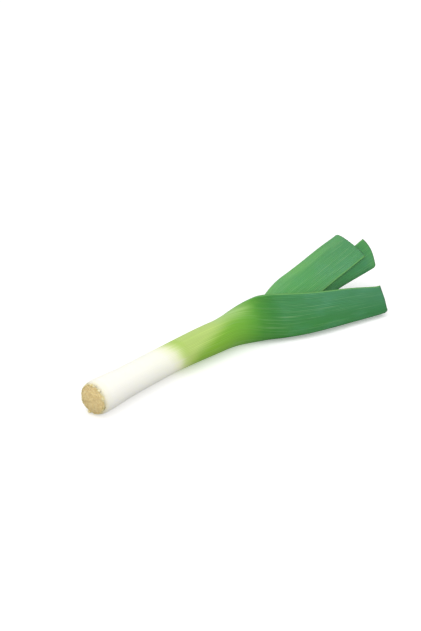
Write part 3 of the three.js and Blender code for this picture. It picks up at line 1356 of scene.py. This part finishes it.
@dataclass(frozen=True)
class RootBase:
    """The trimmed root base: a corky disc with the stubs of its cut roots and a torn pale rim."""

    finish: RootFinish
    stub_finish: RootFinish
    rim_finish: RootFinish
    name: str = "trimmed_roots"
    node: str = "root_plate"
    slot: str = "root_plate"
    radius: float = 16.3
    rim: float = -0.9
    depth: float = 6.0
    dome: float = 3.8
    face_rings: int = 34
    spin_steps: int = 168
    coarse: tuple[float, float] = (0.33, 0.55)
    fine: tuple[float, float] = (1.1, 0.34)
    fibres: tuple[float, float, float] = (9.0, 0.22, 0.28)
    fibres_from: Span = Span(2, 9)
    edge_width: float = 2.6
    edge_drop: float = 0.5
    stubs: int = 210
    stub_inset: float = 1.3
    stub_jitter: float = 0.7
    stub_girth: tuple[float, float] = (0.3, 0.95)
    stub_taper: float = 0.78
    stub_proud: tuple[float, float] = (0.1, 1.0)
    stub_sunk: float = 1.6
    stub_lean: float = 0.3
    beads: int = 110
    bead_size: tuple[float, float, float] = (0.3, 0.95, 1.8)
    bead_step: tuple[float, float] = (-0.9, 0.9)
    bead_out: tuple[float, float] = (-0.5, 0.35)
    bead_along: tuple[float, float] = (-0.8, 0.7)
    bead_sides: tuple[tuple[float, float], ...] = ((0.8, 1.8), (0.5, 0.9), (0.8, 2.4))
    bead_lean: tuple[float, float] = (-0.6, 0.6)
    bead_ragged: tuple[float, float] = (1.4, 0.55)
    seed: int = 11

    def height(self, radius: float) -> float:
        """Returns how far the domed face stands out at a radius."""
        return self.dome * (1 - (radius / self.radius) ** 2) - self.rim

    def build(self) -> bpy.types.Object:
        """Spins the disc, roughens its face, and sets the stubs and the rim on it.

        Returns:
            The piece.
        """
        bm = bmesh.new()
        face = [(self.radius * step / self.face_rings, None) for step in range(self.face_rings)]
        side = [(self.radius, self.rim), (self.radius + 0.1, 0.4), (self.radius + 0.4, 2.4)]
        back = [(self.radius, self.depth - 0.2), (self.radius - 0.4, self.depth), (0.0, self.depth)]
        points = [(r, -self.height(r) if x is None else x) for r, x in (*face, *side, *back)]
        verts = [bm.verts.new((x, 0.0, r)) for r, x in points]
        edges = [bm.edges.new(pair) for pair in zip(verts, verts[1:])]
        bmesh.ops.spin(
            bm, geom=[*verts, *edges], cent=(0, 0, 0), axis=(1, 0, 0), dvec=(0, 0, 0),
            angle=2 * math.pi, steps=self.spin_steps, use_merge=True, use_duplicate=False,
        )
        bmesh.ops.remove_doubles(bm, verts=bm.verts, dist=MERGE_DISTANCE)
        bmesh.ops.recalc_face_normals(bm, faces=bm.faces)
        for vert in bm.verts:
            if vert.co.x < 0.0:
                vert.co += self.roughness_at(vert.co)
        draw = random.Random(self.seed)
        for index in range(self.stubs):
            self.add_stub(bm, draw, index)
        for index in range(self.beads):
            self.add_bead(bm, draw, index)
        for vert in bm.verts:
            vert.co = placed(vert.co + Vector((0.0, 0.0, AXIS_HEIGHT)))
        materials = [part.material() for part in (self.finish, self.stub_finish, self.rim_finish)]
        return piece_of(self.name, bm, materials, self.node, self.slot)

    def roughness_at(self, point: Vector) -> Vector:
        """Works out how the corky face is roughened.

        Args:
            point: A point of the smooth face.

        Returns:
            How far it moves out or in.
        """
        out = noise.noise(point * self.coarse[0]) * self.coarse[1]
        out += noise.noise(point * self.fine[0] + Vector((5.0, 2.0, 8.0))) * self.fine[1]
        turn = math.atan2(point.z, point.y)
        radius = math.hypot(point.y, point.z)
        around, inwards, strength = self.fibres
        fibres = noise.noise(Vector((turn * around, radius * inwards, 0.0))) * strength
        out += fibres * self.fibres_from.share(radius)
        out -= self.edge_drop * smooth(radius, self.radius - self.edge_width, self.radius)
        return Vector((-out, 0.0, 0.0))

    def add_stub(self, bm: bmesh.types.BMesh, draw: random.Random, index: int) -> None:
        """Adds one cut root, on a sunflower spiral with some jitter, sunk well into the face.

        Args:
            bm: The mesh, in millimetres.
            draw: The random draws.
            index: The root's place on the spiral.
        """
        spiral = (self.radius - self.stub_inset) * math.sqrt((index + 0.5) / self.stubs)
        turn = index * GOLDEN_ANGLE
        across = spiral * math.cos(turn) + draw.uniform(-self.stub_jitter, self.stub_jitter)
        up = spiral * math.sin(turn) + draw.uniform(-self.stub_jitter, self.stub_jitter)
        foot = draw.uniform(*self.stub_girth)
        proud = draw.uniform(*self.stub_proud)
        out = self.height(math.hypot(across, up)) + (proud - self.stub_sunk) / 2
        leans = [draw.uniform(-self.stub_lean, self.stub_lean) for _ in range(2)]
        lean = Euler((0.0, -math.pi / 2 + leans[0], leans[1])).to_matrix().to_4x4()
        made = bmesh.ops.create_cone(
            bm, cap_ends=True, segments=8, radius1=foot, radius2=self.stub_taper * foot,
            depth=proud + self.stub_sunk, matrix=Matrix.Translation((-out, across, up)) @ lean,
        )
        self.dress(made["verts"], 1)

    def add_bead(self, bm: bmesh.types.BMesh, draw: random.Random, index: int) -> None:
        """Adds one torn scrap of sheath to the rim, sunk into the side of the disc.

        Args:
            bm: The mesh, in millimetres.
            draw: The random draws.
            index: The scrap's place round the rim.
        """
        turn = 2 * math.pi * (index + draw.uniform(*self.bead_step)) / self.beads
        least, more, power = self.bead_size
        size = least + more * draw.random() ** power
        out = self.radius + draw.uniform(*self.bead_out)
        along = self.rim + draw.uniform(*self.bead_along)
        centre = Vector((along, out * math.cos(turn), out * math.sin(turn)))
        sides = [draw.uniform(*ends) for ends in self.bead_sides]
        lean = Matrix.Rotation(draw.uniform(*self.bead_lean), 4, "Y")
        pose = Matrix.Translation(centre) @ Matrix.Rotation(turn, 4, "X") @ lean
        pose = pose @ Matrix.Diagonal((*sides, 1.0))
        made = bmesh.ops.create_icosphere(bm, subdivisions=2, radius=size, matrix=pose)
        often, ragged = self.bead_ragged
        for vert in made["verts"]:
            vert.co += scatter(vert.co * often) * (ragged * size)
        self.dress(made["verts"], 2)

    @staticmethod
    def dress(verts: Iterable[bmesh.types.BMVert], index: int) -> None:
        """Gives all faces at some vertices the material of that index."""
        for face in {face for vert in verts for face in vert.link_faces}:
            face.material_index = index


OUTER_BLADE: Stops = (
    (156, (140, 189, 60)),
    (176, (136, 187, 58)),
    (208, (124, 180, 60)),
    (231, (112, 173, 60)),
    (246, (93, 159, 58)),
    (257, (74, 142, 55)),
    (274, (61, 131, 54)),
    (320, (59, 129, 62)),
    (448, (58, 126, 75)),
)
SECOND_BLADE: Stops = (
    (180, (146, 196, 84)),
    (235, (118, 182, 76)),
    (262, (104, 172, 76)),
    (310, (92, 167, 86)),
    (380, (88, 159, 92)),
    (492, (82, 149, 95)),
)
THIRD_BLADE_AND_TIP_HIGHLIGHT: Stops = (
    (200, (150, 198, 84)),
    (280, (100, 168, 68)),
    (380, (62, 130, 70)),
    (484, (64, 134, 80)),
    # The last stop is paler: a painted highlight at the tip.
    (505, (84, 158, 78)),
)
INNER_BLADE: Stops = (
    (210, (160, 204, 92)),
    (300, (118, 182, 74)),
    (400, (98, 166, 70)),
    (500, (90, 158, 68)),
)
HEART_BLADE: Stops = (
    (220, (184, 214, 116)),
    (320, (152, 200, 90)),
    (480, (130, 188, 76)),
)
FLESH_BLADE: Stops = (
    (220, (166, 206, 100)),
    (330, (104, 168, 78)),
    (400, (88, 154, 78)),
    (500, (84, 150, 80)),
)


def leaves() -> list[Leaf]:
    """Sizes the five leaves.

    Returns:
        The leaves, from the outside in.
    """
    flesh = FleshFinish("leaf_flesh", FLESH_BLADE)
    outer = OuterLeaf(
        name="outer_leaf", node="leaf_1", slot="shaft_leaf", layer=0, side=Side.RIGHT,
        mouth=207, end=448, flare=8, margin=76, fold=0.45, keel_wall=1.8, start=-0.8,
        columns=144, flesh=flesh,
        # The outer skin gets a painted highlight on top and a painted sheen.
        finish=LeafFinish("outer_skin", OUTER_BLADE, mouth=207, top_highlight=0.9, painted_sheen=0.24),
    )
    second = FanLeaf(
        name="second_leaf", node="leaf_2", slot="green_leaf", layer=1, side=Side.LEFT,
        mouth=230, end=497, flare=-5, margin=110, fold=0.3, keel_wall=1.6, spread=2.3, flesh=flesh,
        finish=LeafFinish("second_skin", SECOND_BLADE, mouth=230, keel_highlight=0.8),
    )
    third = FanLeaf(
        name="third_leaf", node="leaf_3", slot="green_leaf", layer=2, side=Side.RIGHT,
        mouth=245, end=500.5, flare=17.5, bulged=True, margin=104, fold=0.3, keel_wall=1.5,
        spread=1.68, widening=0.77, keel_round=3.0, flesh=flesh,
        finish=LeafFinish("third_skin", THIRD_BLADE_AND_TIP_HIGHLIGHT, mouth=245),
    )
    fourth = FanLeaf(
        name="fourth_leaf", node="leaf_4", slot="inner_leaf", layer=3, side=Side.LEFT,
        mouth=259, end=494, flare=6, margin=122, fold=0.3, keel_wall=1.4, flesh=flesh,
        finish=LeafFinish("fourth_skin", INNER_BLADE, mouth=259, bloom=0.1),
    )
    fifth = FanLeaf(
        name="fifth_leaf", node="leaf_5", slot="inner_leaf", layer=4, side=Side.RIGHT,
        mouth=273, end=486, flare=5, margin=122, fold=0.3, keel_wall=1.3, flesh=flesh,
        finish=LeafFinish("fifth_skin", INNER_BLADE, mouth=273, bloom=0.1),
    )
    return [outer, second, third, fourth, fifth]


@dataclass(frozen=True)
class Studio:
    """A pale floor, soft light from the upper left, and the camera of the photograph."""

    azimuth: float = -52.46
    elevation: float = 23.05
    distance: float = 1.140
    target: tuple[float, float, float] = (0.05675, 0.04587, 0.0176)
    focal_pixels: float = 898.06
    image_height: float = 631.0
    sensor: float = 36.0
    floor_size: float = 30.0
    floor_tone: float = 0.93
    floor_glow: float = 0.24
    sky_above: float = 0.86
    sky_below: float = 0.42
    sky_span: Span = Span(-0.5, 0.05)

    def add_floor(self) -> None:
        """Lays the floor that the leek lies on."""
        bm = bmesh.new()
        bmesh.ops.create_grid(bm, x_segments=1, y_segments=1, size=self.floor_size / 2)
        mesh = bpy.data.meshes.new("floor")
        bm.to_mesh(mesh)
        bm.free()
        sheet = Sheet("floor_white")
        sheet.set("Base Color", (self.floor_tone, self.floor_tone, self.floor_tone, 1.0))
        sheet.set("Roughness", 0.9)
        sheet.set("Specular IOR Level", 0.1)
        sheet.set("Emission Color", (1.0, 1.0, 1.0, 1.0))
        sheet.set("Emission Strength", self.floor_glow)
        mesh.materials.append(sheet.material)
        floor = bpy.data.objects.new("floor", mesh)
        floor.visible_diffuse = False
        floor.visible_glossy = False
        bpy.context.scene.collection.objects.link(floor)

    def add_lamp(
        self, name: str, place: tuple[float, float, float], size: float, power: float
    ) -> None:
        """Adds one soft square lamp that faces the leek.

        Args:
            name: The lamp's name.
            place: Where it stands, in metres.
            size: The length of its sides, in metres.
            power: Its power, in watts.
        """
        light = bpy.data.lights.new(name, "AREA")
        light.size = size
        light.energy = power
        lamp = bpy.data.objects.new(name, light)
        lamp.location = place
        lamp.rotation_mode = "QUATERNION"
        lamp.rotation_quaternion = (Vector(self.target) - Vector(place)).to_track_quat("-Z", "Y")
        bpy.context.scene.collection.objects.link(lamp)

    def add_sky(self) -> None:
        """Lights the whole scene in white, more from above than from below."""
        world = bpy.data.worlds.new("studio")
        world.use_nodes = True
        nodes, links = world.node_tree.nodes, world.node_tree.links
        split = nodes.new("ShaderNodeSeparateXYZ")
        links.new(nodes.new("ShaderNodeTexCoord").outputs["Generated"], split.inputs[0])
        strength = nodes.new("ShaderNodeMapRange")
        strength.interpolation_type = "SMOOTHSTEP"
        for name, value in (
            ("From Min", self.sky_span.start), ("From Max", self.sky_span.end),
            ("To Min", self.sky_below), ("To Max", self.sky_above),
        ):
            strength.inputs[name].default_value = value
        links.new(split.outputs[2], strength.inputs["Value"])
        background = nodes["Background"]
        background.inputs["Color"].default_value = (1.0, 1.0, 1.0, 1.0)
        links.new(strength.outputs["Result"], background.inputs["Strength"])
        bpy.context.scene.world = world

    def add_camera(self) -> None:
        """Sets the camera at the photograph's angle."""
        turn, lift = math.radians(self.azimuth), math.radians(self.elevation)
        back = Vector((
            math.sin(turn) * math.cos(lift), -math.cos(turn) * math.cos(lift), math.sin(lift)
        ))
        data = bpy.data.cameras.new("camera")
        data.sensor_width = self.sensor
        data.lens = self.focal_pixels * self.sensor / self.image_height
        camera = bpy.data.objects.new("camera", data)
        camera.location = Vector(self.target) + back * self.distance
        camera.rotation_mode = "QUATERNION"
        camera.rotation_quaternion = (-back).to_track_quat("-Z", "Y")
        bpy.context.scene.collection.objects.link(camera)
        bpy.context.scene.camera = camera

    def build(self) -> None:
        """Builds the whole studio."""
        self.add_camera()
        self.add_floor()
        self.add_sky()
        self.add_lamp("key", (-0.6, 0.4, 1.7), 1.2, 4.5)
        self.add_lamp("fill", (-0.9, -1.4, 0.9), 1.6, 8.5)
        bpy.context.scene.view_settings.view_transform = "Standard"


def main() -> None:
    """Builds the studio and the leek, piece by piece."""
    logging.basicConfig(level=logging.INFO, format="%(name)s: %(message)s")
    Studio().build()
    roots = RootBase(
        finish=RootFinish("root_cork", (244, 222, 162), (228, 202, 144), (250, 236, 196)),
        stub_finish=RootFinish("root_stub", (244, 224, 168), (234, 210, 152), (252, 240, 206)),
        rim_finish=RootFinish("root_rim", (244, 234, 190), (228, 212, 146), (250, 245, 222), 0.6),
    )
    roots.build()
    for leaf in leaves():
        leaf.build()
    heart_finish = LeafFinish("heart_skin", HEART_BLADE, mouth=600, bloom=0.0)
    Heart(finish=heart_finish, flesh=FleshFinish("heart_flesh", HEART_BLADE)).build()


if __name__ == "__main__":
    main()
